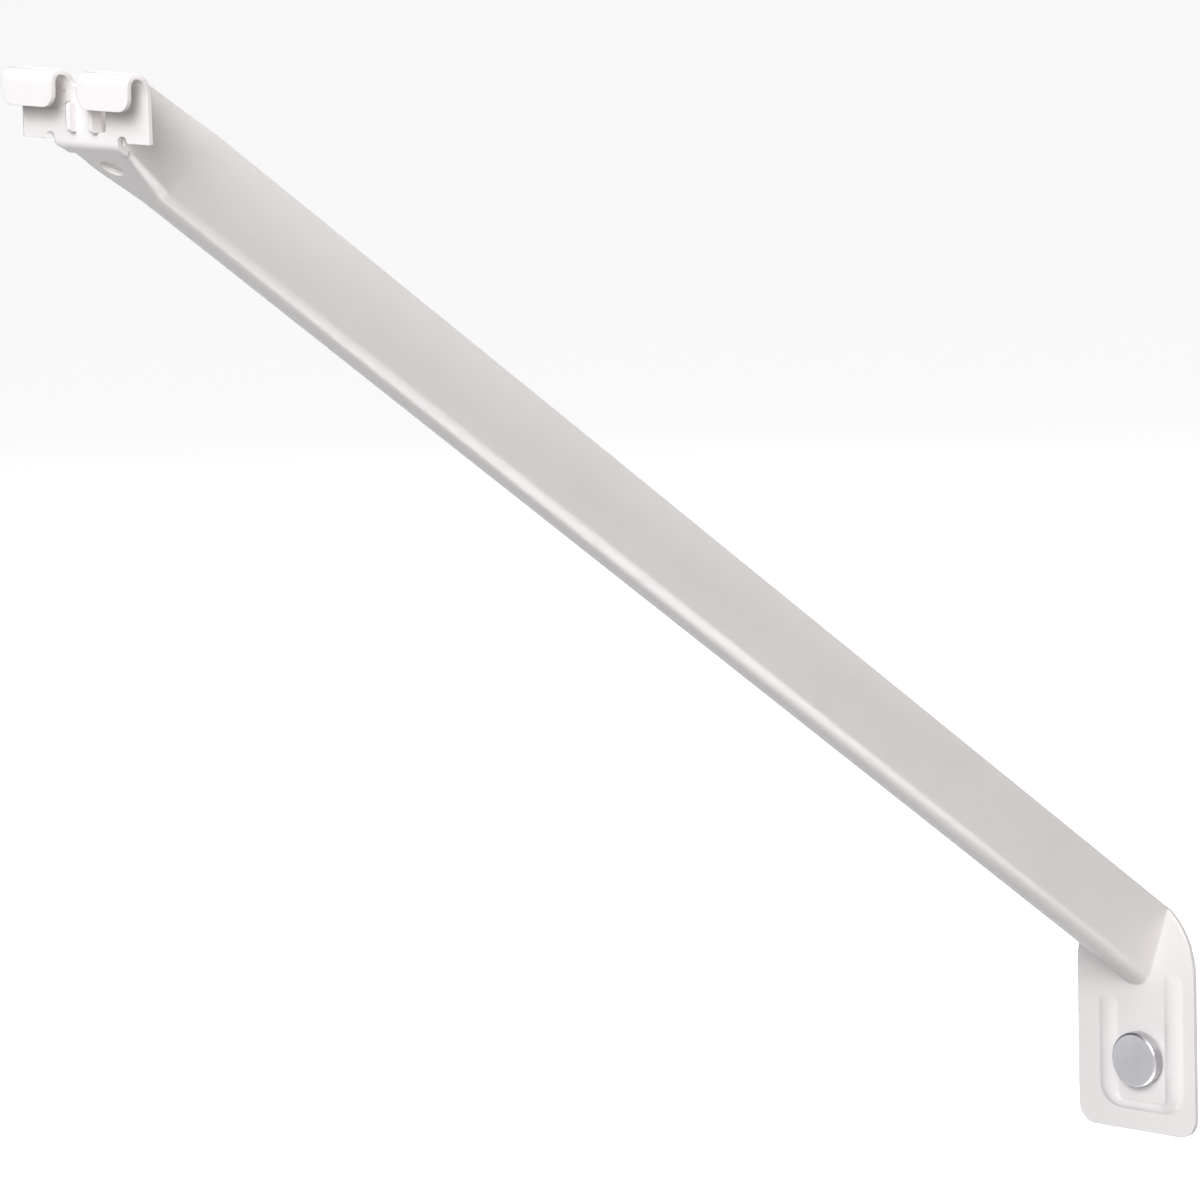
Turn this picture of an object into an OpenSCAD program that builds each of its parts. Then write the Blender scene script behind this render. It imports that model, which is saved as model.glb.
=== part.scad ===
// Wire shelf support bracket: a folded steel channel with a wall foot, two claws and a drive pin.
// The wall is the plane y = 0, the shelf's front lies towards -y, and +z is up.
// The origin is on the pin's axis, on the wall plane.

/* [Sheet] */
// Thickness of the folded steel sheet
sheet_t = 1.0; // [0.8:0.1:1.5]
// How far the arm's middle plane lies to the left of the pin
sheet_shift = 1.4; // [0:0.1:2.5]

/* [Arm] */
// From the wall to the front face of the hook plate
arm_reach = 295; // [240:5:420]
// Rise of the arm above the horizontal, in degrees
arm_angle = 34.25; // [28:0.05:45]
// Height of the arm's lower edge on the wall, above the pin
arm_foot_z = 15.1; // [12:0.1:18]
// Depth of the channel, from its rounded edge to its open side
channel_depth = 14.6; // [12:0.1:20]
// Lean of each channel wall, in degrees from upright
wall_splay = 22; // [15:1:28]
// Outer radius of the channel's rounded edge
ridge_r = 4.1; // [3:0.1:5]

/* [Web] */
// Width of the web where it bends up into the hook plate, corners included
web_w = 16; // [13:0.5:18]
// Length of the arm over which the rounded edge opens into the flat web
web_len = 15; // [12:0.5:30]
// How far the flat web lies above the line of the rounded edge
web_lift = 1.2; // [0:0.1:2]
// Outer radius of the web's corners at the hook plate
web_corner_r = 2.0; // [1.4:0.1:3]
// Lean of the walls at the hook plate, in degrees, inwards
wall_lean_in = 3; // [0:0.5:5]
// Radius of each wall's upper front corner
wall_corner_r = 5; // [3:0.5:7]
// Gap between the walls' front edges and the hook plate
wall_gap = 0.8; // [0.4:0.1:1.5]
// Diameter of the hole in the web
web_hole_d = 4.6; // [3:0.1:6]
// From the hook plate's front face back to the web hole, level
web_hole_back = 6.2; // [5:0.1:9]

/* [Foot] */
// Width of the foot
foot_w = 31; // [29:0.5:36]
// From the pin down to the foot's lower edge
foot_drop = 15.9; // [15:0.1:20]
// Radius of the foot's lower corners
foot_corner_r = 4.2; // [2:0.1:6]
// Height above the pin where the foot's shoulders begin
shoulder_z = 19; // [16:0.5:22]
// Radius of the foot's shoulders
shoulder_r = 18; // [16:0.5:24]

/* [Bead] */
// Width of the raised bead
bead_w = 4.8; // [3.6:0.1:5.2]
// Height of the raised bead
bead_h = 1.0; // [0.6:0.1:1.2]
// From the pin out to the middle of each leg of the bead
bead_out = 8.7; // [8.2:0.1:9]
// From the pin down to the middle of the bead's cross bar
bead_down = 10.6; // [10:0.1:11.5]
// Radius of the bead's corners, at its middle
bead_turn_r = 4; // [3.5:0.1:5]
// Height of the left leg's upper end above the pin
bead_left_z = 11.3; // [6:0.1:13]
// Height of the right leg's upper end above the pin
bead_right_z = 17.4; // [10:0.1:18]

/* [Hook plate] */
// Width of the hook plate over its wings
plate_w = 32; // [30:0.5:36]
// Height of the plate and claws above the web's bend
plate_h = 13.7; // [13:0.1:18]
// Gap below the wings, above the web's bend
wing_gap = 1.1; // [1.1:0.1:2]
// Inner radius of the bend between web and plate
bend_r = 1.0; // [0.6:0.1:1.5]
// Radius of the relief cut beside the bend
relief_r = 1.2; // [0.8:0.1:1.5]

/* [Claws] */
// Diameter of the shelf's front rod
rod_d = 4.5; // [4.2:0.1:6.4]
// Play of the rod in the claws
rod_play = 0.3; // [0.1:0.05:0.6]
// Inner radius of the claw's back bend
claw_back_r = 3.1; // [2.4:0.1:3.1]
// Inner radius of the claw's front bend
claw_front_r = 1.5; // [0.8:0.1:1.5]
// From the claw's top down to its tip
claw_drop = 6.6; // [6:0.1:8]
// Radius of the corners at the claw's tip
claw_tip_r = 2.6; // [1:0.1:2.6]
// Radius of the corners at the claw's top
claw_top_r = 1.2; // [0.5:0.1:1.6]
// Width of the notch between the claws
notch_w = 6.4; // [5:0.2:8]
// Depth of the notch below the claws' top
notch_depth = 3.1; // [2:0.1:3.4]
// Radius at the foot of the notch
notch_r = 1.0; // [0.5:0.1:1.5]

/* [Guide tabs] */
// Clear width between the two tabs
tab_gap = 4.6; // [3.5:0.1:5.4]
// How far each tab stands out of the plate
tab_out = 1.9; // [1.2:0.1:2.4]
// Height of each tab
tab_h = 5.2; // [4:0.1:5.4]
// From the web's bend up to the tabs' lower end
tab_up = 2.6; // [2.4:0.1:3.4]
// Radius of the tabs' free corners
tab_corner_r = 0.9; // [0.4:0.1:1.1]

/* [Drive pin] */
// Diameter of the pin's head
head_d = 11.8; // [9:0.1:14]
// Thickness of the pin's head
head_t = 2.3; // [1.5:0.1:3]
// Chamfer of the head's edge
head_chamfer = 0.35; // [0.1:0.05:0.6]
// Diameter of the pin's shank
shank_d = 3.6; // [3:0.1:4.2]
// Length of the shank behind the wall plane
shank_l = 12.5; // [11:0.5:13]

/* [Wall anchor] */
// Outer diameter of the anchor's sleeve
anchor_d = 6.4; // [6:0.1:8]
// Length of the sleeve behind the wall plane
anchor_l = 14; // [14:0.5:30]
// Length of the sleeve's plain neck behind the wall plane
neck_l = 4.5; // [3:0.5:6]
// Length of each tooth around the sleeve
tooth_l = 2; // [1.5:0.1:2.4]
// Depth of the groove in front of each tooth
tooth_depth = 0.4; // [0.2:0.05:0.6]
// Diameter of the sleeve's hub in the foot's hole
hub_d = 7.0; // [6.8:0.1:8.2]
// Diameter of the collar under the pin's head
collar_d = 9.4; // [8.5:0.1:11]
// Thickness of the collar
collar_t = 0.6; // [0.4:0.1:1]
// Play of the hub in the foot's hole, on the radius
hole_play = 0.05; // [0.05:0.05:0.3]
// Play of the shank in the sleeve, on the radius
shank_play = 0.05; // [0.02:0.01:0.1]
// Width of the slit that parts the sleeve's legs
slit_w = 0.9; // [0.6:0.1:1.4]
// Length of the slit from the sleeve's far end
slit_l = 8; // [6:0.5:9]

/* [Hidden] */
$fn = 64;
// Overlap of cutters past the faces that they cut
slack = 1;
// Lap of neighbouring solids of one sheet
join_lap = 0.02;
// Stretch of flat web that the hook plate's strip starts with, and its share past the walls' front edges
web_run = 1.6;
web_past_walls = 0.6;
// Segments in each rounded corner of the channel, and sections along its opening web
corner_steps = 8;
web_steps = 14;
// Half the narrow flat along the channel's rounded edge
ridge_flat = 0.3;
// Lengths along the arm's lower edge, from the wall plane
arm_back_u = -channel_depth;
web_end_u = (arm_reach - sheet_t - wall_gap - web_past_walls) / cos(arm_angle);
web_start_u = web_end_u - web_len;
arm_end_u = (arm_reach + channel_depth) / cos(arm_angle);
// Heights of the hook plate's features
bend_z = arm_foot_z + arm_reach * tan(arm_angle) + web_lift / cos(arm_angle);
wing_z = bend_z + wing_gap;
claw_top_z = bend_z + plate_h;
claw_bend_z = claw_top_z - sheet_t - claw_back_r;
notch_z = claw_top_z - notch_depth;
claw_gap = rod_d + rod_play;
claw_w = (plate_w - notch_w) / 2;
tab_z = bend_z + tab_up;
hole_r = hub_d / 2 + hole_play;
// Teeth that fit on the sleeve between its neck and its nose
tooth_n = floor((anchor_l - anchor_d / 4 - neck_l) / tooth_l);
// The bead is a round rod, of this radius, sunk in the sheet
bead_r = (bead_h * bead_h + bead_w * bead_w / 4) / (2 * bead_h);

// Channel section: opening 0 is the arm's rounded edge, 1 the flat web at the hook plate.
function mix(a, b, k) = a + (b - a) * k;
function wall_lean(k) = mix(wall_splay, -wall_lean_in, k);
function flat_half(k) = mix(ridge_flat, web_w / 2 - web_corner_r, k);
function corner_r(k) = mix(ridge_r, web_corner_r, k);
function floor_n(k) = mix(0, web_lift, k);
function turn(r, a) = [r * cos(a), r * sin(a)];

// Top of a wall, on the face that lies inset from the outer one
function wall_top(k, inset) =
    let (a = wall_lean(k),
         centre = [flat_half(k), floor_n(k) + corner_r(k)],
         foot = centre + turn(corner_r(k), -a),
         rise = (channel_depth - foot[1]) / cos(a))
    foot + turn(rise, 90 - a) - turn(inset, -a);

// Right half of one face, from the wall's top down to the middle
function face_half(k, inset) =
    let (centre = [flat_half(k), floor_n(k) + corner_r(k)], a = wall_lean(k))
    concat([wall_top(k, inset)],
           [for (i = [0:corner_steps])
               centre + turn(corner_r(k) - inset, mix(-a, -90, i / corner_steps))]);

function reversed(list) = [for (i = [len(list) - 1:-1:0]) list[i]];
function mirrored(list) = [for (p = list) [-p[0], p[1]]];
function face_points(k, inset) =
    concat(face_half(k, inset), reversed(mirrored(face_half(k, inset))));
function channel_section(k) = concat(face_points(k, 0), reversed(face_points(k, sheet_t)));

// Sections along the arm: [distance along the lower edge, opening]
function web_opening(u) = min(1, max(0, (u - web_start_u) / web_len));
arm_stations = concat([arm_back_u],
                      [for (i = [0:web_steps]) web_start_u + web_len * i / web_steps],
                      [arm_end_u]);

// Rectangle with its own radius at the lower and at the upper corners
module rounded_plate(w, h, low_r, top_r) {
    translate([0, low_r]) square([w, h - low_r - top_r]);
    translate([low_r, 0]) square([w - 2 * low_r, low_r]);
    translate([top_r, h - top_r]) square([w - 2 * top_r, top_r]);
    for (x = [low_r, w - low_r]) translate([x, low_r]) circle(low_r);
    for (x = [top_r, w - top_r]) translate([x, h - top_r]) circle(top_r);
}

// Piece of a bent sheet, between two angles less than 180 degrees apart
module sheet_bend(inner_r, from, to) {
    far = 2 * (inner_r + sheet_t);
    intersection() {
        difference() {
            circle(inner_r + sheet_t);
            circle(inner_r);
        }
        polygon([[0, 0], turn(far, from), turn(far * 2, (from + to) / 2), turn(far, to)]);
    }
}

// Puts a front view, drawn in x and z, on the wall plane with the given depth towards the front
module front_view(depth) {
    rotate([90, 0, 0]) linear_extrude(depth) children();
}

// Puts a side view, drawn in forward distance and z, across the middle plane with the given width
module side_view(width) {
    rotate([90, 0, -90]) linear_extrude(width, center = true) children();
}

// Puts a section of the arm in place: x across, y out of the channel's edge, z along the arm
module along_arm(u) {
    translate([0, 0, arm_foot_z])
        rotate([90 - arm_angle, 0, 0])
            translate([0, 0, u]) children();
}

// Folded channel, longer than the arm at both ends
module channel_blank() {
    size = len(channel_section(0));
    last = len(arm_stations) - 1;
    points = [for (u = arm_stations) for (p = channel_section(web_opening(u))) [p[0], p[1], u]];
    sides = [for (s = [0:last - 1]) for (i = [0:size - 1])
                let (a = s * size + i, b = s * size + (i + 1) % size)
                each [[a, b, b + size], [a, b + size, a + size]]];
    caps = [[for (i = [size - 1:-1:0]) i], [for (i = [0:size - 1]) last * size + i]];
    along_arm(0) polyhedron(points = points, faces = concat(sides, caps), convexity = 6);
}

// Side view of the space that the channel's walls may fill
module wall_outline() {
    front = arm_reach - sheet_t - wall_gap;
    top_at_wall = arm_foot_z + (channel_depth + sheet_t) / cos(arm_angle);
    edge_z = function(forward) top_at_wall - sheet_t / cos(arm_angle) + forward * tan(arm_angle);
    round_z = edge_z(front - wall_corner_r) - wall_corner_r / cos(arm_angle);
    polygon([[0, -foot_drop], [front, -foot_drop], [front, round_z],
             [front - wall_corner_r, round_z],
             [front - wall_corner_r * (1 + sin(arm_angle)), round_z + wall_corner_r * cos(arm_angle)],
             [front - 2 * wall_corner_r, edge_z(front - 2 * wall_corner_r) + sheet_t],
             [0, top_at_wall]]);
    translate([front - wall_corner_r, round_z]) circle(wall_corner_r);
}

module channel() {
    intersection() {
        channel_blank();
        side_view(plate_w) wall_outline();
    }
}

// Room inside the channel and above it, where the foot is open as well
module channel_room() {
    along_arm(-foot_w) {
        linear_extrude(2 * foot_w) polygon(face_points(0, sheet_t));
        translate([-foot_w / 2, channel_depth - join_lap, 0]) cube([foot_w, foot_w, 2 * foot_w]);
    }
}

module foot_outline() {
    arch_x = shoulder_r - foot_w / 2;
    translate([-foot_w / 2, -foot_drop])
        rounded_plate(foot_w, foot_drop + shoulder_z, foot_corner_r, join_lap);
    intersection() {
        translate([-arch_x, shoulder_z]) circle(shoulder_r);
        translate([arch_x, shoulder_z]) circle(shoulder_r);
        translate([-foot_w / 2, shoulder_z - slack]) square([foot_w, shoulder_r + slack]);
    }
}

// Round rod along the bead's path, of the given radius
module bead_rod(r) {
    corner_z = -bead_down + bead_turn_r;
    corner_x = bead_out - bead_turn_r;
    for (leg = [[-1, bead_left_z], [1, bead_right_z]]) {
        translate([leg[0] * bead_out, 0, corner_z]) cylinder(h = leg[1] - corner_z, r = r);
        translate([leg[0] * bead_out, 0, leg[1]]) sphere(r);
    }
    translate([-corner_x, 0, -bead_down]) rotate([0, 90, 0]) cylinder(h = 2 * corner_x, r = r);
    for (corner = [[-1, 180], [1, 270]])
        translate([corner[0] * corner_x, 0, corner_z])
            rotate([90, 0, 0])
                rotate([0, 0, corner[1]])
                    rotate_extrude(angle = 90) translate([bead_turn_r, 0]) circle(r);
}

// The bead's crest, kept in front of the sheet's middle
module bead_crest() {
    intersection() {
        translate([0, bead_r - bead_h - sheet_t, 0]) bead_rod(bead_r);
        translate([-foot_w, -sheet_t - 2 * bead_h, -foot_drop])
            cube([2 * foot_w, sheet_t / 2 + 2 * bead_h, foot_drop + shoulder_z + shoulder_r]);
    }
}

module bead_groove() {
    translate([0, bead_r - bead_h - sheet_t, 0]) bead_rod(bead_r - sheet_t);
}

module foot() {
    difference() {
        union() {
            translate([-sheet_shift, 0, 0]) front_view(sheet_t) foot_outline();
            bead_crest();
        }
        bead_groove();
        translate([-sheet_shift, 0, 0]) channel_room();
        rotate([90, 0, 0]) cylinder(h = 4 * sheet_t, r = hole_r, center = true);
    }
}

// Web, bend and plate as one bent strip, in side view
module plate_profile() {
    outer_r = bend_r + sheet_t;
    centre = [arm_reach - outer_r, bend_z - outer_r * tan(arm_angle) + outer_r / cos(arm_angle)];
    run = turn(web_run, 180 + arm_angle);
    lap = turn(join_lap, arm_angle);
    out = turn(outer_r, arm_angle - 90);
    in = turn(bend_r, arm_angle - 90);
    polygon([centre + out + lap, centre + in + lap, centre + in + run, centre + out + run]);
    translate(centre) sheet_bend(bend_r, arm_angle - 90, 0);
    translate([arm_reach - sheet_t, centre[1]]) square([sheet_t, claw_bend_z - centre[1]]);
}

// The curl of the claws, in side view
module curl_profile() {
    translate([arm_reach + claw_back_r, claw_bend_z]) sheet_bend(claw_back_r, 180, 90);
    translate([arm_reach + claw_back_r, claw_top_z - sheet_t])
        square([claw_gap - claw_back_r - claw_front_r, sheet_t]);
    translate([arm_reach + claw_gap - claw_front_r, claw_top_z - sheet_t - claw_front_r])
        sheet_bend(claw_front_r, 90, 0);
    translate([arm_reach + claw_gap, claw_top_z - claw_drop])
        square([sheet_t, claw_drop - sheet_t - claw_front_r]);
}

// Front view of the plate below the claws, with its wings and its web
module plate_outline() {
    difference() {
        union() {
            translate([-plate_w / 2, wing_z]) square([plate_w, claw_bend_z - wing_z]);
            translate([-web_w / 2, bend_z - web_w]) square([web_w, web_w + 2 * wing_gap]);
        }
        for (side = [-1, 1])
            translate([side * (web_w / 2 + relief_r), wing_z]) circle(relief_r);
    }
}

// Front view of the two claws and of the sheet that joins them below the notch
module curl_outline() {
    for (x = [-plate_w / 2, notch_w / 2])
        translate([x, claw_top_z - claw_drop]) rounded_plate(claw_w, claw_drop, claw_tip_r, claw_top_r);
    difference() {
        translate([-notch_w / 2 - notch_r, claw_bend_z])
            square([notch_w + 2 * notch_r, notch_z - claw_bend_z + notch_r]);
        translate([-notch_w / 2, notch_z]) rounded_plate(notch_w, 2 * notch_depth, notch_r, notch_r);
    }
}

module curl() {
    difference() {
        intersection() {
            side_view(plate_w) curl_profile();
            translate([0, -arm_reach + 2 * claw_gap, 0]) front_view(6 * claw_gap) curl_outline();
        }
        translate([-notch_w / 2, -arm_reach - 2 * claw_gap - sheet_t, claw_top_z - claw_drop - slack])
            cube([notch_w, 2 * claw_gap, claw_drop + 2 * slack]);
    }
}

// Outline of a tab or of its window, from the hinge line outwards
module tab_outline(out) {
    square([out - tab_corner_r, tab_h]);
    translate([0, tab_corner_r]) square([out, tab_h - 2 * tab_corner_r]);
    for (z = [tab_corner_r, tab_h - tab_corner_r])
        translate([out - tab_corner_r, z]) circle(tab_corner_r);
}

// A tab stands on the inner edge of the window that it was cut from
module guide_tab() {
    translate([tab_gap / 2 + sheet_t / 2, -arm_reach + sheet_t / 2, tab_z])
        rotate([90, 0, -90]) linear_extrude(sheet_t, center = true) tab_outline(tab_out + sheet_t / 2);
}

module tab_window() {
    translate([tab_gap / 2 + sheet_t, -arm_reach + 2 * sheet_t, tab_z])
        front_view(4 * sheet_t) tab_outline(tab_out);
}

module hook_plate() {
    difference() {
        intersection() {
            side_view(plate_w) plate_profile();
            translate([0, -arm_reach + 4 * sheet_t, 0]) front_view(5 * sheet_t) plate_outline();
        }
        for (side = [0, 1]) mirror([side, 0, 0]) tab_window();
    }
    for (side = [0, 1]) mirror([side, 0, 0]) guide_tab();
    curl();
}

module web_hole() {
    forward = arm_reach - web_hole_back;
    translate([0, -forward, bend_z - web_hole_back * tan(arm_angle)])
        rotate([-arm_angle, 0, 0]) cylinder(h = 6 * sheet_t, r = web_hole_d / 2, center = true);
}

module bracket() {
    color("white") {
        foot();
        translate([-sheet_shift, 0, 0]) difference() {
            union() {
                channel();
                hook_plate();
            }
            web_hole();
        }
    }
}

// Flat-headed pin, its head on the anchor's collar
module drive_pin() {
    face = sheet_t + collar_t + head_t;
    head_r = head_d / 2;
    shank_r = shank_d / 2;
    color("silver") rotate([90, 0, 0]) rotate_extrude()
        polygon([[0, face], [head_r - head_chamfer, face], [head_r, face - head_chamfer],
                 [head_r, face - head_t], [shank_r, face - head_t],
                 [shank_r, -shank_l + shank_r], [shank_r / 3, -shank_l], [0, -shank_l]]);
}

// Split and toothed sleeve that the pin spreads in the wall
module wall_anchor() {
    sleeve_r = anchor_d / 2;
    bore_r = shank_d / 2 + shank_play;
    nose = sleeve_r - bore_r;
    teeth = [for (i = [0:tooth_n - 1])
                each [[sleeve_r - tooth_depth, -neck_l - i * tooth_l],
                      [sleeve_r - join_lap, -neck_l - (i + 1) * tooth_l]]];
    color("gainsboro") difference() {
        rotate([90, 0, 0]) rotate_extrude()
            polygon(concat([[bore_r, sheet_t + collar_t], [collar_d / 2, sheet_t + collar_t],
                            [collar_d / 2, sheet_t], [hub_d / 2, sheet_t], [hub_d / 2, 0],
                            [sleeve_r, 0], [sleeve_r, -neck_l]],
                           teeth,
                           [[sleeve_r - tooth_depth, nose - anchor_l], [sleeve_r - nose / 2, -anchor_l],
                            [bore_r, -anchor_l]]));
        translate([-anchor_d, anchor_l - slit_l, -slit_w / 2])
            cube([2 * anchor_d, slit_l + slack, slit_w]);
    }
}

bracket();
drive_pin();
wall_anchor();
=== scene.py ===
"""Looks of a wire shelf support bracket: powder-coated sheet, zinc-plated pin, nylon sleeve."""
import logging
import math
from abc import ABC, abstractmethod
from dataclasses import dataclass, field
from enum import Enum

import bmesh
import bpy
from mathutils import Matrix, Vector


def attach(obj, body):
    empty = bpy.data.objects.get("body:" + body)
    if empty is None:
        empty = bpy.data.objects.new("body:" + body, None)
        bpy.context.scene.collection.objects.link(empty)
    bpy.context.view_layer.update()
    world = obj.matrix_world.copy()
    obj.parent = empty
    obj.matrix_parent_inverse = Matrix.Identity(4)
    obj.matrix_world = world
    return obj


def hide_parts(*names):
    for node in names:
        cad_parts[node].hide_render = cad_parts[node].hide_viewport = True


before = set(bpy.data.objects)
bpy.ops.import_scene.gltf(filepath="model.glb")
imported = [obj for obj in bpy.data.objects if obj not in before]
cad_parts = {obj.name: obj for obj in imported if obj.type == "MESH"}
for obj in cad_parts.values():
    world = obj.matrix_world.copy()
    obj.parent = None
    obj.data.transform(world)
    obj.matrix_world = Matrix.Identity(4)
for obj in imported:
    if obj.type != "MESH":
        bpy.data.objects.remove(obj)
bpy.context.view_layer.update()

logging.basicConfig(level=logging.INFO, format="%(name)s: %(message)s")
LOG = logging.getLogger("shelf_bracket")

Socket = bpy.types.NodeSocket
Point = tuple[float, float, float]
Colour = tuple[float, float, float, float]
Source = Socket | float | Point | Colour

WHITE: Colour = (1.0, 1.0, 1.0, 1.0)
TOUCHING = 1e-6  # metres: planes nearer than this count as one
MIX_FACTOR, MIX_FIRST, MIX_SECOND, MIX_RESULT = 0, 6, 7, 2  # a Mix node's sockets for colours
NODES_IN_ROW, NODE_STEP = 12, (200, -260)  # how the nodes are laid out in the node editor


class Maths(Enum):
    """The operations of the Math node that this file uses."""

    ADD = "ADD"
    SUBTRACT = "SUBTRACT"
    MULTIPLY = "MULTIPLY"
    DIVIDE = "DIVIDE"
    MAXIMUM = "MAXIMUM"
    SINE = "SINE"


class Kind(Enum):
    """The kinds of socket that an effect group has."""

    NUMBER = "NodeSocketFloat"
    PLACE = "NodeSocketVector"
    COLOUR = "NodeSocketColor"


def smooth(share: float) -> float:
    """Eases a share in and out.

    Args:
        share: The share, also outside 0 to 1.

    Returns:
        The eased share, from 0 to 1.
    """
    held = min(1.0, max(0.0, share))
    return held * held * (3.0 - 2.0 * held)


class Wiring:
    """A node tree under construction, with short calls for the nodes that this file uses."""

    def __init__(self, tree: bpy.types.NodeTree) -> None:
        """Keeps the tree.

        Args:
            tree: The tree that the nodes are added to.
        """
        self.tree = tree
        self.count = 0

    def node(self, kind: str, **settings: object) -> bpy.types.Node:
        """Adds a node.

        Args:
            kind: The node's type name.
            **settings: Properties set on the node.

        Returns:
            The new node.
        """
        made = self.tree.nodes.new(kind)
        row, column = divmod(self.count, NODES_IN_ROW)
        made.location = (NODE_STEP[0] * column, NODE_STEP[1] * row)
        self.count += 1
        for name, value in settings.items():
            setattr(made, name, value)
        return made

    def feed(self, target: Socket, source: Source) -> None:
        """Links a socket to an input, or sets the input's value.

        Args:
            target: The input socket.
            source: A socket, a number or a tuple.
        """
        if isinstance(source, Socket):
            self.tree.links.new(source, target)
        else:
            target.default_value = source

    def maths(self, operation: Maths, *values: Source) -> Socket:
        """Adds a Math node.

        Args:
            operation: What it does.
            *values: One or two values or sockets.

        Returns:
            The result's socket.
        """
        made = self.node("ShaderNodeMath", operation=operation.value)
        for target, value in zip(made.inputs, values):
            self.feed(target, value)
        return made.outputs[0]

    def times(self, first: Source, second: Source) -> Socket:
        """Multiplies two values."""
        return self.maths(Maths.MULTIPLY, first, second)

    def ramp(self, value: Source, low: Source, high: Source,
             to_low: Source = 0.0, to_high: Source = 1.0) -> Socket:
        """Adds a Map Range node that eases in and out.

        Args:
            value: The value that is mapped.
            low: Where the range starts.
            high: Where the range ends.
            to_low: The result at the start.
            to_high: The result at the end.

        Returns:
            The result's socket.
        """
        made = self.node("ShaderNodeMapRange", interpolation_type="SMOOTHSTEP")
        names = ("Value", "From Min", "From Max", "To Min", "To Max")
        for name, source in zip(names, (value, low, high, to_low, to_high)):
            self.feed(made.inputs[name], source)
        return made.outputs["Result"]

    def mix(self, factor: Source, first: Source, second: Source) -> Socket:
        """Adds a Mix node for colours.

        Args:
            factor: The share of the second colour.
            first: The first colour or socket.
            second: The second colour or socket.

        Returns:
            The mixed colour's socket.
        """
        made = self.node("ShaderNodeMix", data_type="RGBA")
        self.feed(made.inputs[MIX_FACTOR], factor)
        self.feed(made.inputs[MIX_FIRST], first)
        self.feed(made.inputs[MIX_SECOND], second)
        return made.outputs[MIX_RESULT]

    def noise(self, place: Source, scale: Source, detail: float, roughness: float) -> Socket:
        """Adds a Noise Texture.

        Args:
            place: The coordinates.
            scale: Cells per metre.
            detail: Octaves of finer noise.
            roughness: How much of the finer noise is mixed in.

        Returns:
            The noise value's socket.
        """
        made = self.node("ShaderNodeTexNoise")
        names = ("Vector", "Scale", "Detail", "Roughness")
        for name, source in zip(names, (place, scale, detail, roughness)):
            self.feed(made.inputs[name], source)
        return made.outputs["Fac"]

    def stretch(self, place: Source, scale: Point, turn: Point = (0.0, 0.0, 0.0)) -> Socket:
        """Adds a Mapping node that stretches the coordinates and then turns them.

        Args:
            place: The coordinates.
            scale: Stretch along each axis.
            turn: Rotation about each axis, in radians.

        Returns:
            The new coordinates' socket.
        """
        made = self.node("ShaderNodeMapping", vector_type="POINT")
        for name, source in zip(("Vector", "Rotation", "Scale"), (place, turn, scale)):
            self.feed(made.inputs[name], source)
        return made.outputs[0]

    def away(self, place: Source, counts: Point, centre: Point = (0.0, 0.0, 0.0)) -> Socket:
        """Measures how far a place is from a line or a point.

        Args:
            place: The coordinates.
            counts: 1 for each axis along which the distance counts, and 0 for the others.
            centre: A point on the line, or the point.

        Returns:
            The distance's socket, in metres.
        """
        moved = self.node("ShaderNodeVectorMath", operation="SUBTRACT")
        self.feed(moved.inputs[0], place)
        self.feed(moved.inputs[1], centre)
        length = self.node("ShaderNodeVectorMath", operation="LENGTH")
        self.feed(length.inputs[0], self.stretch(moved.outputs[0], counts))
        return length.outputs["Value"]

    def rounded(self, radius: Source, samples: int) -> Socket:
        """Adds a Bevel node, which shades the edges as if they were rounded.

        Args:
            radius: The rounding's radius, in metres.
            samples: Rays that look for an edge.

        Returns:
            The normal's socket.
        """
        made = self.node("ShaderNodeBevel", samples=samples)
        self.feed(made.inputs["Radius"], radius)
        return made.outputs[0]

    def bump(self, height: Source, depth: float, strength: float,
             normal: Socket | None = None) -> Socket:
        """Adds a Bump node.

        Args:
            height: The height's socket.
            depth: The relief's depth, in metres.
            strength: The relief's strength.
            normal: The normal that the relief stands on, where it isn't the surface's own.

        Returns:
            The normal's socket.
        """
        made = self.node("ShaderNodeBump")
        names = ("Distance", "Strength", "Height", "Normal")
        for name, source in zip(names, (depth, strength, height, normal)):
            if source is not None:
                self.feed(made.inputs[name], source)
        return made.outputs[0]


@dataclass
class EffectGroup:
    """A shader node group with named inputs and outputs, made once for several materials.

    Attributes:
        name: The group's name.
        inputs: The kind of each input, by name.
        outputs: The kind of each output, by name.
        tree: The group's node tree.
        wiring: The tree's wiring.
        source: The sockets that the inputs come from, inside the group.
        result: The sockets that the outputs are fed through, inside the group.
    """

    name: str
    inputs: dict[str, Kind]
    outputs: dict[str, Kind]
    tree: bpy.types.NodeTree = field(init=False)
    wiring: Wiring = field(init=False)
    source: bpy.types.NodeOutputs = field(init=False)
    result: bpy.types.NodeInputs = field(init=False)

    def __post_init__(self) -> None:
        """Makes the group's tree and its sockets."""
        self.tree = bpy.data.node_groups.new(self.name, "ShaderNodeTree")
        for way, sockets in (("INPUT", self.inputs), ("OUTPUT", self.outputs)):
            for name, kind in sockets.items():
                self.tree.interface.new_socket(name, in_out=way, socket_type=kind.value)
        self.wiring = Wiring(self.tree)
        self.source = self.wiring.node("NodeGroupInput").outputs
        self.result = self.wiring.node("NodeGroupOutput").inputs

    def place(self, wiring: Wiring, **values: Source) -> bpy.types.NodeOutputs:
        """Adds the group to a material.

        Args:
            wiring: The material's wiring.
            **values: A value or a socket for each input, by the input's name.

        Returns:
            The group node's outputs.
        """
        made = wiring.node("ShaderNodeGroup", node_tree=self.tree)
        for name, value in values.items():
            wiring.feed(made.inputs[name], value)
        return made.outputs


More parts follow.
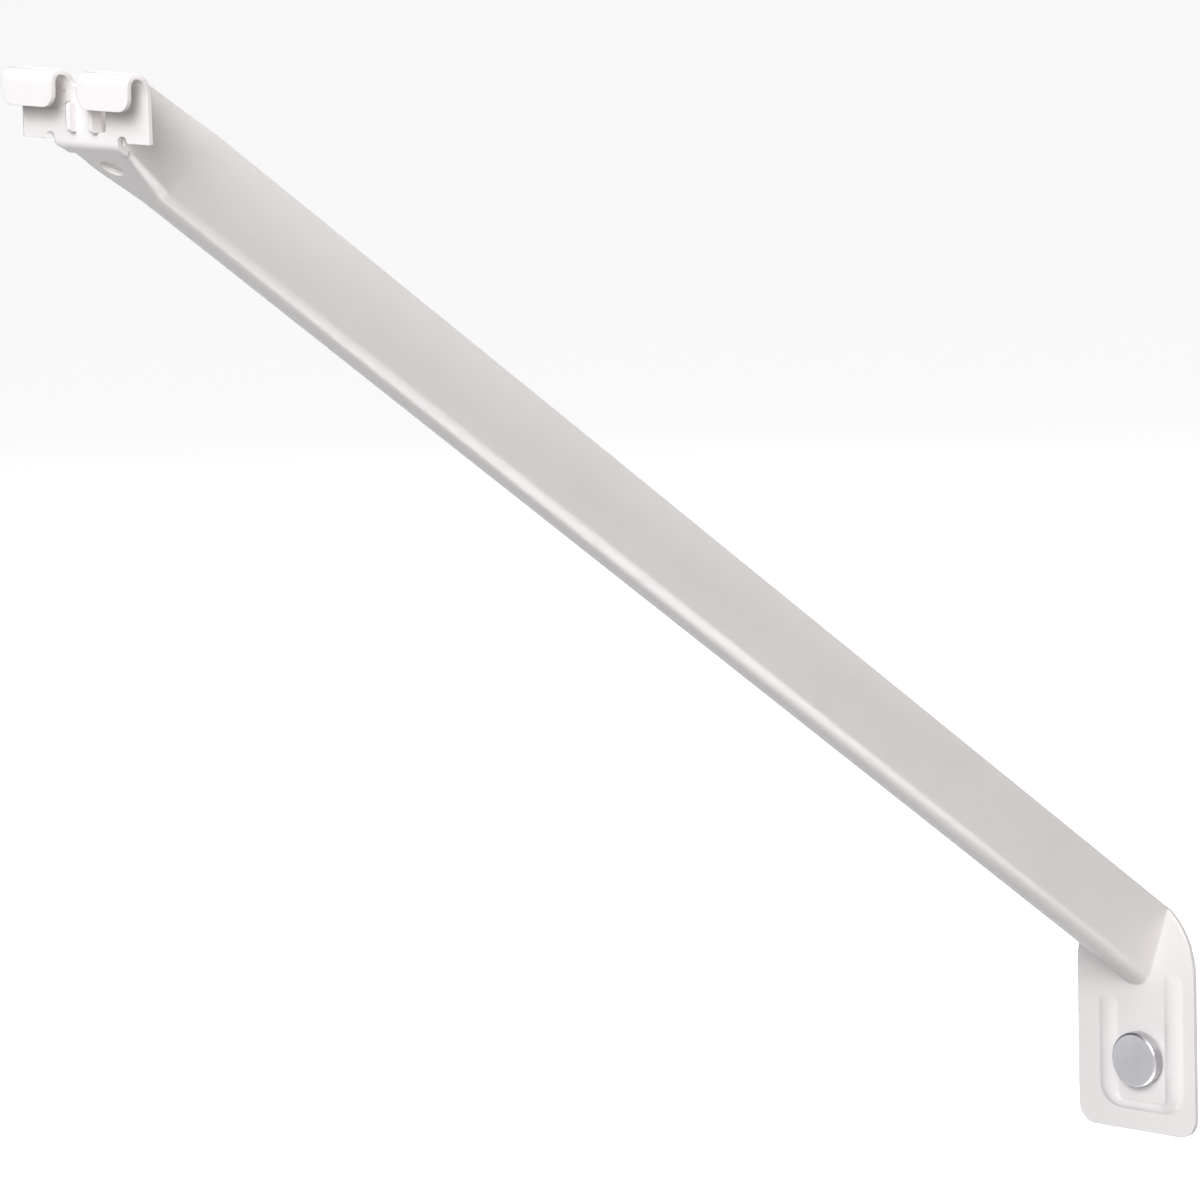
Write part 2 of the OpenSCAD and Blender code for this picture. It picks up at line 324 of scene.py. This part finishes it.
@dataclass(frozen=True)
class Ripple:
    """The soft ripple of a cured or moulded surface.

    Attributes:
        finer: How many times finer the grain is than the ripple.
        hollows: The ripple's values from the floor of a hollow to its brim.
    """

    finer: float = 5.0
    hollows: tuple[float, float] = (0.32, 0.5)

    def group(self) -> EffectGroup:
        """Makes the group.

        Returns:
            The group, with a height and a mask of its hollows.
        """
        made = EffectGroup(
            "surface_peel",
            {"Place": Kind.PLACE, "Cell": Kind.NUMBER, "Grain": Kind.NUMBER},
            {"Height": Kind.NUMBER, "Hollows": Kind.NUMBER},
        )
        w, place = made.wiring, made.source["Place"]
        scale = w.maths(Maths.DIVIDE, 1.0, made.source["Cell"])
        broad = w.noise(place, scale, detail=1.0, roughness=0.4)
        fine = w.noise(place, w.times(scale, self.finer), detail=2.0, roughness=0.5)
        height = w.maths(Maths.ADD, broad, w.times(fine, made.source["Grain"]))
        w.feed(made.result["Height"], height)
        w.feed(made.result["Hollows"], w.ramp(broad, *self.hollows, 1.0, 0.0))
        return made


@dataclass(frozen=True)
class RubMarks:
    """Thin rub marks that run in two directions and lie in patches.

    Attributes:
        stretches: For each direction, how much the noise is drawn out.
        turns: For each direction, how it is turned.
        lines: For each direction, the noise's values from bare surface to mark.
        patch_scale: The patches' cells per metre, as a share of the marks'.
        patches: The patch noise's values from bare surface to patch.
    """

    stretches: tuple[Point, Point] = ((1.0, 0.05, 0.2), (0.08, 1.0, 0.2))
    turns: tuple[Point, Point] = ((0.5, 0.3, 0.9), (1.3, 0.8, 0.2))
    lines: tuple[tuple[float, float], tuple[float, float]] = ((0.68, 0.74), (0.7, 0.76))
    patch_scale: float = 0.03
    patches: tuple[float, float] = (0.48, 0.66)

    def group(self) -> EffectGroup:
        """Makes the group.

        Returns:
            The group, with a mask of the marks.
        """
        made = EffectGroup(
            "rub_marks",
            {"Place": Kind.PLACE, "Width": Kind.NUMBER, "Amount": Kind.NUMBER},
            {"Mask": Kind.NUMBER},
        )
        w, place = made.wiring, made.source["Place"]
        scale = w.maths(Maths.DIVIDE, 1.0, made.source["Width"])
        marks = []
        for stretch, turn, line in zip(self.stretches, self.turns, self.lines):
            drawn = w.noise(w.stretch(place, stretch, turn), scale, detail=1.0, roughness=0.3)
            marks.append(w.ramp(drawn, *line))
        where = w.noise(place, w.times(scale, self.patch_scale), detail=2.0, roughness=0.6)
        shown = w.times(w.maths(Maths.MAXIMUM, *marks), w.ramp(where, *self.patches))
        w.feed(made.result["Mask"], w.times(shown, made.source["Amount"]))
        return made


@dataclass(frozen=True)
class UnevenTone:
    """A faint uneven tone, with specks.

    Attributes:
        cloud_scale: The clouds of tone, in cells per metre.
        toned: The cloud noise's values from the colour to its shade.
        speckled: The cloud noise's values from clean surface to specks.
        specks: The fine noise's values from clean surface to a speck.
    """

    cloud_scale: float = 38.0
    toned: tuple[float, float] = (0.35, 0.72)
    speckled: tuple[float, float] = (0.45, 0.6)
    specks: tuple[float, float] = (0.78, 0.84)

    def group(self) -> EffectGroup:
        """Makes the group.

        Returns:
            The group, with a toned colour and a mask of the specks.
        """
        made = EffectGroup(
            "uneven_tone",
            {"Place": Kind.PLACE, "Colour": Kind.COLOUR, "Shade": Kind.COLOUR,
             "Amount": Kind.NUMBER, "Speck": Kind.NUMBER},
            {"Colour": Kind.COLOUR, "Specks": Kind.NUMBER},
        )
        w, source = made.wiring, made.source
        cloud = w.noise(source["Place"], self.cloud_scale, detail=4.0, roughness=0.6)
        fine_scale = w.maths(Maths.DIVIDE, 1.0, source["Speck"])
        fine = w.noise(source["Place"], fine_scale, detail=0.0, roughness=0.5)
        specks = w.times(w.ramp(fine, *self.specks), w.ramp(cloud, *self.speckled))
        share = w.times(w.ramp(cloud, *self.toned), source["Amount"])
        w.feed(made.result["Colour"], w.mix(share, source["Colour"], source["Shade"]))
        w.feed(made.result["Specks"], specks)
        return made


class Effects:
    """The effects that more than one finish shares."""

    def __init__(self) -> None:
        """Makes the groups."""
        self.peel = Ripple().group()
        self.scuffs = RubMarks().group()
        self.tone = UnevenTone().group()


@dataclass(frozen=True)
class Finish(ABC):
    """What every finish has: a name, and a way to make its material."""

    name: str

    @abstractmethod
    def make(self, effects: Effects) -> bpy.types.Material:
        """Makes the material.

        Args:
            effects: The shared effects.

        Returns:
            The material.
        """

    def start(self) -> tuple[bpy.types.Material, Wiring, bpy.types.NodeInputs, Socket]:
        """Starts a material with a plain Principled shader.

        Returns:
            The material, its wiring, its shader's inputs and the object coordinates' socket.
        """
        material = bpy.data.materials.new(self.name)
        material.use_nodes = True
        material.node_tree.nodes.clear()
        wiring = Wiring(material.node_tree)
        place = wiring.node("ShaderNodeTexCoord").outputs["Object"]
        shader = wiring.node("ShaderNodeBsdfPrincipled")
        end = wiring.node("ShaderNodeOutputMaterial")
        wiring.feed(end.inputs["Surface"], shader.outputs[0])
        return material, wiring, shader.inputs, place


@dataclass(frozen=True)
class PowderCoat(Finish):
    """White powder coat, cured to a low ripple, rubbed in the claws and rounded over every edge.

    Attributes:
        colour: The coat's colour.
        shade: Its colour in the clouds of tone and the specks.
        steel: The sheet's colour under the rub marks.
        roughness: The roughness of the coat.
        hollow_rough: What the ripple's hollows add to it.
        rub_rough: What a rub mark adds to it.
        speck_share: How much of the shade a speck takes.
        steel_share: How much of the steel a rub mark shows.
        rub_depth: How deep a rub mark lies, in heights of the ripple.
        relief: The ripple's depth in metres, and its strength.
        edge_radius: The rounding of the edges.
        fold_radius: The rounding in the fold zone.
        fold_zone: The lowest and the highest corner of the foot's middle, where the bead and
            the arm's walls leave the sheet in soft folds.
        fold_blend: How far the fold zone fades out.
        rod_place: A point on the axis of the shelf's rod in the claws.
        rod_radius: The rod's radius.
        rod_near: How far outside the rod the rubbed surface fades out, from and to.
        rub_far: How much of a rub mark is left away from the rod.
    """

    colour: Colour = (0.812, 0.777, 0.764, 1.0)
    shade: Colour = (0.762, 0.729, 0.716, 1.0)
    steel: Colour = (0.36, 0.355, 0.35, 1.0)
    roughness: float = 0.30
    hollow_rough: float = 0.06
    rub_rough: float = 0.15
    speck_share: float = 0.35
    steel_share: float = 0.55
    rub_depth: float = 0.4
    relief: tuple[float, float] = (0.00002, 0.55)
    edge_radius: float = 0.00022
    fold_radius: float = 0.0007
    fold_zone: tuple[Point, Point] = ((-0.0128, -0.0100, -0.0140), (0.0125, 0.0, 0.0330))
    fold_blend: float = 0.0012
    rod_place: Point = (0.0, -0.2974, 0.2276)
    rod_radius: float = 0.00225
    rod_near: tuple[float, float] = (0.0004, 0.0012)
    rub_far: float = 0.12

    def make(self, effects: Effects) -> bpy.types.Material:
        """Makes the material.

        Args:
            effects: The shared effects.

        Returns:
            The material.
        """
        material, w, shader, place = self.start()
        tone = effects.tone.place(w, Place=place, Colour=self.colour, Shade=self.shade,
                                  Amount=0.5, Speck=0.0005)
        peel = effects.peel.place(w, Place=place, Cell=0.0016, Grain=0.22)
        marks = effects.scuffs.place(w, Place=place, Width=0.00016, Amount=0.8)
        bare = w.times(marks["Mask"], self.near_rod(w, place))
        specks = w.mix(w.times(tone["Specks"], self.speck_share), tone["Colour"], self.shade)
        w.feed(shader["Base Color"], w.mix(w.times(bare, self.steel_share), specks, self.steel))
        rough = w.ramp(peel["Hollows"], 0.0, 1.0,
                       self.roughness, self.roughness + self.hollow_rough)
        w.feed(shader["Roughness"], w.maths(Maths.ADD, rough, w.times(bare, self.rub_rough)))
        radius = w.ramp(self.near_folds(w, place), 0.0, 1.0, self.edge_radius, self.fold_radius)
        height = w.maths(Maths.SUBTRACT, peel["Height"], w.times(bare, self.rub_depth))
        w.feed(shader["Normal"], w.bump(height, *self.relief, w.rounded(radius, samples=8)))
        return material

    def near_folds(self, w: Wiring, place: Socket) -> Socket:
        """Finds the fold zone.

        Args:
            w: The material's wiring.
            place: The object coordinates.

        Returns:
            A mask, 1 inside the zone.
        """
        split = w.node("ShaderNodeSeparateXYZ")
        w.feed(split.inputs[0], place)
        inside = 1.0
        for axis, low, high in zip(split.outputs, *self.fold_zone):
            inside = w.times(inside, w.ramp(axis, low - self.fold_blend, low))
            inside = w.times(inside, w.ramp(axis, high, high + self.fold_blend, 1.0, 0.0))
        return inside

    def near_rod(self, w: Wiring, place: Socket) -> Socket:
        """Finds the surface inside the claws, where the shelf's rod rubs.

        Args:
            w: The material's wiring.
            place: The object coordinates.

        Returns:
            A mask, 1 next to the rod.
        """
        away = w.away(place, (0.0, 1.0, 1.0), self.rod_place)
        near, far = (self.rod_radius + gap for gap in self.rod_near)
        return w.ramp(away, near, far, 1.0, self.rub_far)


@dataclass(frozen=True)
class PinZinc(Finish):
    """Bright zinc plate on a cold-headed pin, with fine rings and a few hammer marks on its face.

    Attributes:
        colour: The plate's colour.
        shade: Its colour in the clouds of tone and in the rub marks.
        roughness: The roughness of the plate.
        speck_rough: What a speck adds to it.
        rub_rough: What a rub mark adds to it.
        rub_share: How much of the shade a rub mark takes.
        ring_pitch: From one ring to the next.
        ring_start: How far the rings are moved inwards.
        ring_height: The rings' height, as a share of the relief.
        dent_scale: The hammer marks, in cells per metre.
        dents: The dent noise's values from plain surface to the bottom of a mark.
        dent_depth: The hammer marks' depth, as a share of the relief.
        relief: The relief's depth in metres, and its strength.
        edge_radius: The rounding of the edges.
    """

    colour: Colour = (0.56, 0.55, 0.58, 1.0)
    shade: Colour = (0.43, 0.42, 0.45, 1.0)
    roughness: float = 0.3
    speck_rough: float = 0.2
    rub_rough: float = 0.12
    rub_share: float = 0.5
    ring_pitch: float = 0.00028
    ring_start: float = 0.00005
    ring_height: float = 0.12
    dent_scale: float = 900.0
    dents: tuple[float, float] = (0.62, 0.72)
    dent_depth: float = 0.6
    relief: tuple[float, float] = (0.00003, 0.5)
    edge_radius: float = 0.0003

    def make(self, effects: Effects) -> bpy.types.Material:
        """Makes the material.

        Args:
            effects: The shared effects.

        Returns:
            The material.
        """
        material, w, shader, place = self.start()
        w.feed(shader["Metallic"], 1.0)
        tone = effects.tone.place(w, Place=place, Colour=self.colour, Shade=self.shade,
                                  Amount=0.8, Speck=0.0003)
        marks = effects.scuffs.place(w, Place=place, Width=0.0001, Amount=1.0)
        from_axis = w.maths(Maths.ADD, w.away(place, (1.0, 0.0, 1.0)), self.ring_start)
        rings = w.maths(Maths.SINE, w.times(from_axis, 2 * math.pi / self.ring_pitch))
        dents = w.ramp(w.noise(place, self.dent_scale, detail=1.0, roughness=0.4), *self.dents)
        worn = w.times(marks["Mask"], self.rub_share)
        w.feed(shader["Base Color"], w.mix(worn, tone["Colour"], self.shade))
        rough = w.ramp(tone["Specks"], 0.0, 1.0,
                       self.roughness, self.roughness + self.speck_rough)
        rubbed = w.times(marks["Mask"], self.rub_rough)
        w.feed(shader["Roughness"], w.maths(Maths.ADD, rough, rubbed))
        height = w.maths(Maths.SUBTRACT, w.times(rings, self.ring_height),
                         w.times(dents, self.dent_depth))
        normal = w.rounded(self.edge_radius, samples=6)
        w.feed(shader["Normal"], w.bump(height, *self.relief, normal))
        return material


@dataclass(frozen=True)
class AnchorNylon(Finish):
    """Natural moulded nylon, slightly see-through at its thin walls.

    Attributes:
        colour: The nylon's colour.
        shade: Its colour in the clouds of tone and in the rub marks.
        roughness: The roughness of the nylon.
        hollow_rough: What the ripple's hollows add to it.
        grain_along: How the ripple is drawn out along the sleeve.
        see_through: How much light goes under the surface.
        light_reach: How far red, green and blue light go there.
        relief: The ripple's depth in metres, and its strength.
    """

    colour: Colour = (0.72, 0.715, 0.69, 1.0)
    shade: Colour = (0.62, 0.61, 0.58, 1.0)
    roughness: float = 0.48
    hollow_rough: float = 0.1
    grain_along: Point = (1.0, 0.25, 1.0)
    see_through: float = 0.2
    light_reach: Point = (0.0012, 0.0011, 0.001)
    relief: tuple[float, float] = (0.00003, 0.5)

    def make(self, effects: Effects) -> bpy.types.Material:
        """Makes the material.

        Args:
            effects: The shared effects.

        Returns:
            The material.
        """
        material, w, shader, place = self.start()
        tone = effects.tone.place(w, Place=place, Colour=self.colour, Shade=self.shade,
                                  Amount=0.6, Speck=0.0003)
        along = w.stretch(place, self.grain_along)
        peel = effects.peel.place(w, Place=along, Cell=0.0009, Grain=0.4)
        marks = effects.scuffs.place(w, Place=place, Width=0.00012, Amount=0.6)
        w.feed(shader["Base Color"], w.mix(marks["Mask"], tone["Colour"], self.shade))
        rough = w.ramp(peel["Hollows"], 0.0, 1.0,
                       self.roughness, self.roughness + self.hollow_rough)
        w.feed(shader["Roughness"], rough)
        w.feed(shader["Subsurface Weight"], self.see_through)
        w.feed(shader["Subsurface Radius"], self.light_reach)
        w.feed(shader["Normal"], w.bump(peel["Height"], *self.relief))
        return material


@dataclass(frozen=True)
class Bead:
    """The foot's U bead as the photograph shows it: legs that fade out, and a low, narrow bar.

    Attributes:
        front: The foot's front face, from which the bead stands out.
        reach: How far the bead's foot reaches from its middle line.
        out: From the middle of the foot to each leg's middle line.
        down: From the pin's axis down to the cross bar's middle line.
        turn: The radius of the two corners.
        tops: The height of the left and the right leg's upper end.
        fade: How far a leg takes to fade out.
        leg_height: The legs' height, as a share of the solid's.
        bar_height: The cross bar's height, as a share of the solid's.
        bar_width: The cross bar's width, as a share of the solid's.
    """

    front: float = -0.001
    reach: float = 0.0025
    out: float = 0.0087
    down: float = 0.0106
    turn: float = 0.004
    tops: tuple[float, float] = (0.0113, 0.0174)
    fade: float = 0.004
    leg_height: float = 0.95
    bar_height: float = 0.28
    bar_width: float = 0.4

    def crest(self, x: float, z: float) -> Point:
        """Finds the nearest point on the bead's middle line.

        Args:
            x: Across the foot.
            z: Up the foot.

        Returns:
            The point's x and z, and how far it belongs to the cross bar, from 0 to 1.
        """
        side = math.copysign(1.0, x)
        corner_x, corner_z = self.out - self.turn, self.turn - self.down
        if z >= corner_z:
            return side * self.out, min(z, self.tops[x > 0.0]), 0.0
        if abs(x) <= corner_x:
            return x, -self.down, 1.0
        angle = math.atan2(corner_z - z, abs(x) - corner_x)
        crest_x = side * (corner_x + self.turn * math.cos(angle))
        return crest_x, corner_z - self.turn * math.sin(angle), smooth(angle / (math.pi / 2))

    def press(self, place: Vector) -> None:
        """Moves a vertex, if it is on the bead.

        Args:
            place: The vertex's place, changed here.
        """
        if place.y > self.front + TOUCHING or place.z > self.tops[1] + self.reach:
            return
        x, z, bar = self.crest(place.x, place.z)
        if math.hypot(place.x - x, place.z - z) > self.reach:
            return
        ends = smooth((self.tops[place.x > 0.0] + self.fade / 2 - place.z) / self.fade)
        width = 1.0 + (self.bar_width - 1.0) * bar
        height = (self.leg_height + (self.bar_height - self.leg_height) * bar) * ends
        place.x = x + (place.x - x) * width
        place.z = z + (place.z - z) * width
        place.y = self.front + (place.y - self.front) * height


@dataclass(frozen=True)
class Hook:
    """The hook as the photograph shows it: lower on its right, with the claws' fronts further back.

    Attributes:
        start: Where along the arm the hook starts to sit lower.
        plate: The front face of the front plate, from which the claws reach forward.
        middle: The middle of the plate, across.
        half: Half of the hook's width.
        lower: How much lower the middle of the hook sits.
        gap: How far the claws reach forward, inside.
        closer: How much further back the claws' fronts are.
        corner: Where the left corner of the web starts, across.
        corner_back: How far behind the plate the corner reaches.
        corner_in: How much the corner is drawn in.
        corner_top: The height under which the corner lies.
        bend: How far behind the plate the drawing-in takes to begin.
        edge: How far it takes to begin across the web.
    """

    start: float = -0.2860
    plate: float = -0.2950
    middle: float = -0.0014
    half: float = 0.016
    lower: float = 0.000225
    gap: float = 0.0048
    closer: float = 0.0010
    corner: float = -0.0060
    corner_back: float = 0.0110
    corner_in: float = 0.0014
    corner_top: float = 0.2200
    bend: float = 0.0015
    edge: float = 0.0015

    def settle(self, place: Vector) -> None:
        """Moves a vertex, if it is on the hook or next to it.

        Args:
            place: The vertex's place, changed here.
        """
        if place.y > self.plate + self.corner_back:
            return
        behind = place.y - self.plate
        if behind > -TOUCHING and place.z < self.corner_top:
            share = smooth(1.0 - behind / self.corner_back) * smooth(behind / self.bend)
            place.x += self.corner_in * share * smooth((self.corner - place.x) / self.edge)
        share = smooth((self.start - place.y) / (self.start - self.plate))
        place.z -= share * self.lower * (1.0 + (place.x - self.middle) / self.half)
        ahead = self.plate - place.y
        if ahead > 0.0:
            place.y += self.closer * min(1.0, ahead / self.gap)


@dataclass
class FoldedSheet:
    """The folded sheet, made again from its solid with smooth bends and crisp sheared edges.

    Attributes:
        finish: What it is coated with.
        node: The solid that it stands for.
        name: The piece's name.
        slot: The record's material slot. Not used.
        merge: Vertices nearer than this become one, so that the bends shade as one surface.
        crease: The angle from which an edge is shaded as a sharp one.
        bead: How the foot's bead is pressed.
        hook: How the hook sits.
    """

    finish: Finish
    node: str = "bracket"
    name: str = "folded_sheet"
    slot: str = "powder_coat"
    merge: float = 0.000002
    crease: float = math.radians(24.0)
    bead: Bead = Bead()
    hook: Hook = Hook()

    def build(self, effects: Effects) -> None:
        """Builds the sheet and gives it its finish.

        Args:
            effects: The shared effects.
        """
        bm = bmesh.new()
        bm.from_mesh(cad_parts[self.node].data)
        bmesh.ops.remove_doubles(bm, verts=bm.verts, dist=self.merge)
        for vert in bm.verts:
            self.bead.press(vert.co)
            self.hook.settle(vert.co)
        for face in bm.faces:
            face.smooth = True
        for edge in bm.edges:
            edge.smooth = len(edge.link_faces) == 2 and edge.calc_face_angle(0.0) < self.crease
        mesh = bpy.data.meshes.new(self.name)
        bm.to_mesh(mesh)
        bm.free()
        mesh.materials.append(self.finish.make(effects))
        piece = bpy.data.objects.new(self.name, mesh)
        bpy.context.scene.collection.objects.link(piece)
        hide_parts(self.node)
        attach(piece, "root")
        LOG.info("%s stands for %s", self.name, self.node)


@dataclass
class DressedNode:
    """A piece whose shape is its solid's and whose finish is made here.

    Attributes:
        node: The solid.
        finish: What it is made of.
    """

    node: str
    finish: Finish

    def build(self, effects: Effects) -> None:
        """Gives the solid its finish.

        Args:
            effects: The shared effects.
        """
        material = self.finish.make(effects)
        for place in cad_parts[self.node].material_slots:
            place.link = "DATA"
            place.material = material
        LOG.info("%s wears %s", self.node, material.name)


@dataclass(frozen=True)
class Lamp:
    """A soft lamp that looks at the object's middle.

    Attributes:
        name: The lamp's name.
        towards: Where it hangs, seen from the object's middle.
        away: How far away it hangs.
        size: Its width and height.
        watts: Its power.
        tint: Its colour.
        mirrored_only: Whether it shows only as a highlight, and gives no diffuse light.
    """

    name: str
    towards: Point
    away: float
    size: tuple[float, float]
    watts: float
    tint: Point = (1.0, 1.0, 1.0)
    mirrored_only: bool = False

    def hang(self, middle: Point) -> None:
        """Hangs the lamp.

        Args:
            middle: The point that it looks at.
        """
        data = bpy.data.lights.new(self.name, "AREA")
        data.shape = "RECTANGLE"
        data.size, data.size_y = self.size
        data.energy = self.watts
        data.color = self.tint
        lamp = bpy.data.objects.new(self.name, data)
        lamp.visible_diffuse = not self.mirrored_only
        out = Vector(self.towards).normalized()
        spot = Matrix.Translation(Vector(middle) + out * self.away)
        lamp.matrix_world = spot @ out.to_track_quat("Z", "Y").to_matrix().to_4x4()
        bpy.context.scene.collection.objects.link(lamp)
        LOG.info("lamp %s hung", self.name)


@dataclass(frozen=True)
class PhotoCamera:
    """The camera, where the photograph's edges say that it stood.

    Attributes:
        azimuth: How far it stands to the right of the front, in degrees.
        elevation: How far it looks down, in degrees.
        roll: How far it is turned about its own axis, in degrees.
        image_side: The photograph's width and height, in pixels.
        focal_px: The focal length, in pixels.
        origin_px: Where the point beside the frame's origin shows, in pixels.
        origin_depth: How far away that point is.
        sheet_shift: How far that point lies to the left of the origin: the sheet's middle.
        sensor: The sensor's width, in millimetres.
        clip: The nearest and the farthest thing that it shows.
    """

    azimuth: float = 42.661
    elevation: float = 8.752
    roll: float = 1.510
    image_side: float = 1200.0
    focal_px: float = 6672.1
    origin_px: tuple[float, float] = (1139.196, 1056.180)
    origin_depth: float = 1.417262
    sheet_shift: float = 0.0014
    sensor: float = 36.0
    clip: tuple[float, float] = (0.05, 100.0)

    def build(self) -> None:
        """Sets the camera up."""
        data = bpy.data.cameras.new("camera")
        data.sensor_fit = "HORIZONTAL"
        data.sensor_width = self.sensor
        data.lens = self.focal_px / self.image_side * self.sensor
        data.clip_start, data.clip_end = self.clip
        a, e, r = (math.radians(v) for v in (self.azimuth, self.elevation, self.roll))
        right = Vector((math.cos(a), math.sin(a), 0.0))
        back = Vector((math.sin(a) * math.cos(e), -math.cos(a) * math.cos(e), math.sin(e)))
        up = back.cross(right)
        tilted_right = right * math.cos(r) - up * math.sin(r)
        tilted_up = right * math.sin(r) + up * math.cos(r)
        half = self.image_side / 2
        aside, below = ((v - half) / self.focal_px * self.origin_depth for v in self.origin_px)
        spot = back * self.origin_depth - tilted_right * aside + tilted_up * below
        spot.x -= self.sheet_shift
        turn = Matrix((tilted_right, tilted_up, back)).transposed().to_4x4()
        camera = bpy.data.objects.new("camera", data)
        camera.matrix_world = Matrix.Translation(spot) @ turn
        bpy.context.scene.collection.objects.link(camera)
        bpy.context.scene.camera = camera
        LOG.info("camera at %.3f %.3f %.3f", *spot)


@dataclass(frozen=True)
class Floor:
    """The pale floor, which shows as nearly white and throws only a little light on the object.

    Attributes:
        height: The floor's height.
        half: Half of its side.
        tone: Its colour for the light that it throws back.
        glow: How bright it looks by itself, to the camera and in reflections.
    """

    height: float = -0.30
    half: float = 24.0
    tone: Colour = (0.30, 0.30, 0.30, 1.0)
    glow: float = 0.89

    def build(self) -> None:
        """Lays the floor."""
        bm = bmesh.new()
        bmesh.ops.create_grid(bm, x_segments=1, y_segments=1, size=self.half)
        bmesh.ops.translate(bm, verts=bm.verts, vec=(0.0, 0.0, self.height))
        mesh = bpy.data.meshes.new("floor")
        bm.to_mesh(mesh)
        bm.free()
        piece = bpy.data.objects.new("floor", mesh)
        bpy.context.scene.collection.objects.link(piece)
        mesh.materials.append(self.material())
        LOG.info("floor laid")

    def material(self) -> bpy.types.Material:
        """Makes the floor's material.

        Returns:
            The material.
        """
        material = bpy.data.materials.new("pale_floor")
        material.use_nodes = True
        material.node_tree.nodes.clear()
        w = Wiring(material.node_tree)
        matt = w.node("ShaderNodeBsdfDiffuse")
        w.feed(matt.inputs["Color"], self.tone)
        glow = w.node("ShaderNodeEmission")
        w.feed(glow.inputs["Color"], WHITE)
        path = w.node("ShaderNodeLightPath").outputs
        seen = w.maths(Maths.MAXIMUM, path["Is Camera Ray"], path["Is Glossy Ray"])
        seen = w.maths(Maths.MAXIMUM, seen, path["Is Transmission Ray"])
        w.feed(glow.inputs["Strength"], w.times(seen, self.glow))
        both = w.node("ShaderNodeAddShader")
        w.feed(both.inputs[0], matt.outputs[0])
        w.feed(both.inputs[1], glow.outputs[0])
        end = w.node("ShaderNodeOutputMaterial")
        w.feed(end.inputs["Surface"], both.outputs[0])
        return material


@dataclass(frozen=True)
class PaleRoom:
    """The room round the object: a dim ceiling light, and white wherever the camera sees it.

    Attributes:
        ceiling: How bright the ceiling is.
        full_at: How high a direction points, from 0 to 1, where the ceiling is at its brightest.
    """

    ceiling: float = 0.16
    full_at: float = 0.5

    def build(self) -> None:
        """Makes the world."""
        world = bpy.data.worlds.new("pale_room")
        bpy.context.scene.world = world
        world.use_nodes = True
        world.node_tree.nodes.clear()
        w = Wiring(world.node_tree)
        path = w.node("ShaderNodeLightPath").outputs
        seen = w.maths(Maths.MAXIMUM, path["Is Camera Ray"], path["Is Transmission Ray"])
        split = w.node("ShaderNodeSeparateXYZ")
        w.feed(split.inputs[0], w.node("ShaderNodeTexCoord").outputs["Generated"])
        above = w.ramp(split.outputs["Z"], 0.0, self.full_at, 0.0, self.ceiling)
        glow = w.node("ShaderNodeBackground")
        w.feed(glow.inputs["Color"], WHITE)
        w.feed(glow.inputs["Strength"], w.maths(Maths.MAXIMUM, seen, above))
        end = w.node("ShaderNodeOutputWorld")
        w.feed(end.inputs["Surface"], glow.outputs[0])


@dataclass(frozen=True)
class Studio:
    """The camera, the floor, the room and the lamps.

    Attributes:
        camera: The camera.
        floor: The floor.
        room: The room.
        middle: The point that the lamps look at.
        lamps: The lamps. The strip draws the line of light along the arm's rounded edge.
    """

    camera: PhotoCamera = PhotoCamera()
    floor: Floor = Floor()
    room: PaleRoom = PaleRoom()
    middle: Point = (0.0, -0.15, 0.10)
    lamps: tuple[Lamp, ...] = (
        Lamp("key", (0.45, -0.80, 0.39), 3.0, (1.4, 1.4), 72.0, (0.98, 0.99, 1.0)),
        Lamp("side", (0.90, -0.30, 0.30), 3.0, (1.4, 1.4), 10.5, (1.0, 0.95, 0.92)),
        Lamp("right", (0.55, 0.05, 0.83), 2.0, (1.2, 1.2), 10.0, (1.0, 0.98, 0.96)),
        Lamp("high", (0.15, -0.75, 0.65), 1.2, (0.6, 0.6), 5.4, (0.90, 0.95, 1.0)),
        Lamp("back", (-0.55, 0.75, 0.45), 3.0, (1.4, 1.4), 60.0),
        Lamp("strip", (0.20, 0.18, -0.96), 0.38, (0.14, 0.40), 1.40, mirrored_only=True),
    )

    def build(self) -> None:
        """Sets up the whole studio."""
        for thing in (self.camera, self.floor, self.room):
            thing.build()
        for lamp in self.lamps:
            lamp.hang(self.middle)
        bpy.context.scene.view_settings.view_transform = "Standard"


def main() -> None:
    """Dresses the pieces, sets up the studio and reports each."""
    effects = Effects()
    pieces = (
        FoldedSheet(PowderCoat("white_powder_coat")),
        DressedNode("drive_pin", PinZinc("bright_zinc")),
        DressedNode("wall_anchor", AnchorNylon("natural_nylon")),
    )
    for piece in pieces:
        piece.build(effects)
    Studio().build()


if __name__ == "__main__":
    main()
